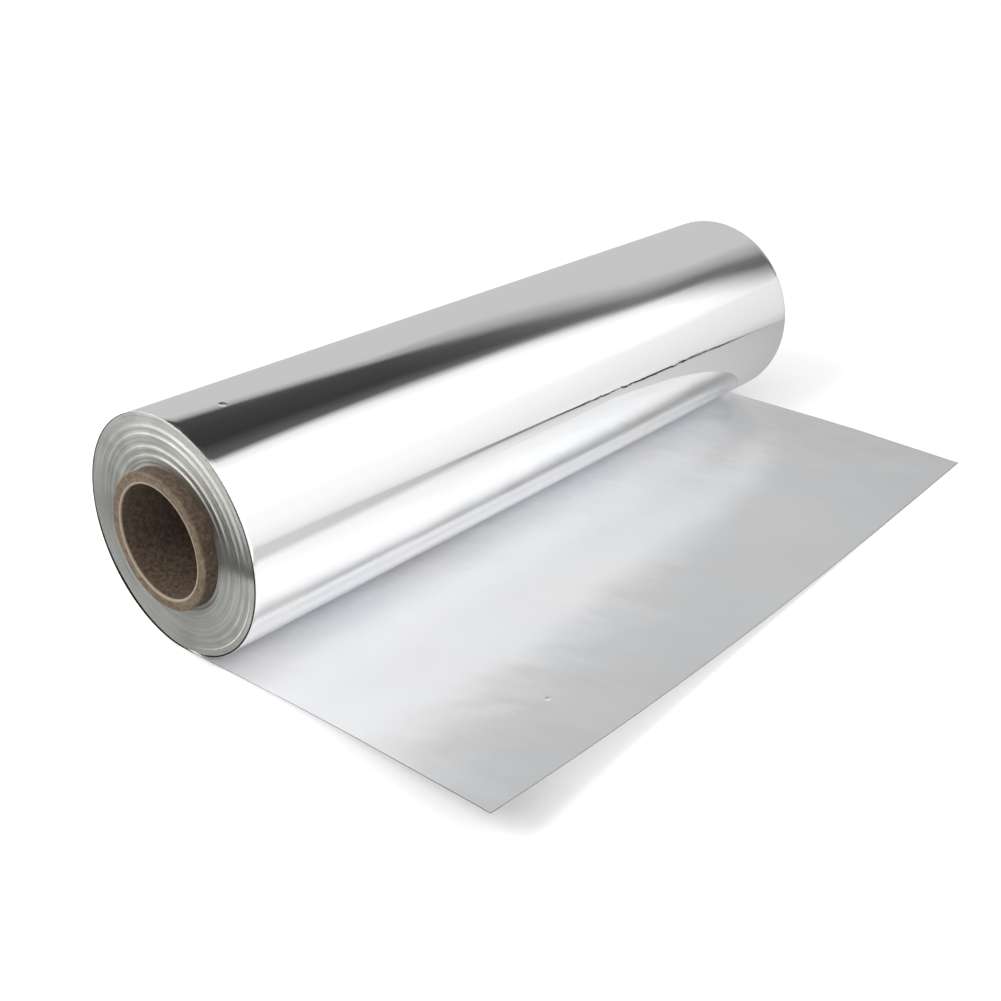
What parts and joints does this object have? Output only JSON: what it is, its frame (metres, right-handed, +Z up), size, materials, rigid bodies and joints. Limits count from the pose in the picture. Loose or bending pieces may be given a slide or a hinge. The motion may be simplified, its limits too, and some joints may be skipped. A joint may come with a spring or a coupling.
{
  "type": "aluminium foil roll",
  "caption": "Roll of aluminium foil on a paper tube, lying on its side with the free end of the strip unrolled flat beside it and one corner curled up.",
  "frame": {"origin": "on the surface that the roll lies on, straight below its axis, halfway along the winding", "axes": "+X along the roll's axis and the tube's bore, the unrolled sheet toward -Y, +Z up"},
  "size_m": [0.3135, 0.1726, 0.0778],
  "materials": {
    "foil": "bright rolled foil, mirror-like on the roll and satin on the crumpled free end",
    "cardboard": "brown spirally wound paper tube with fibrous cut edges"
  },
  "bodies": {
    "root": {"foil": "foil", "cardboard_core": "cardboard"}
  },
  "joints": []
}
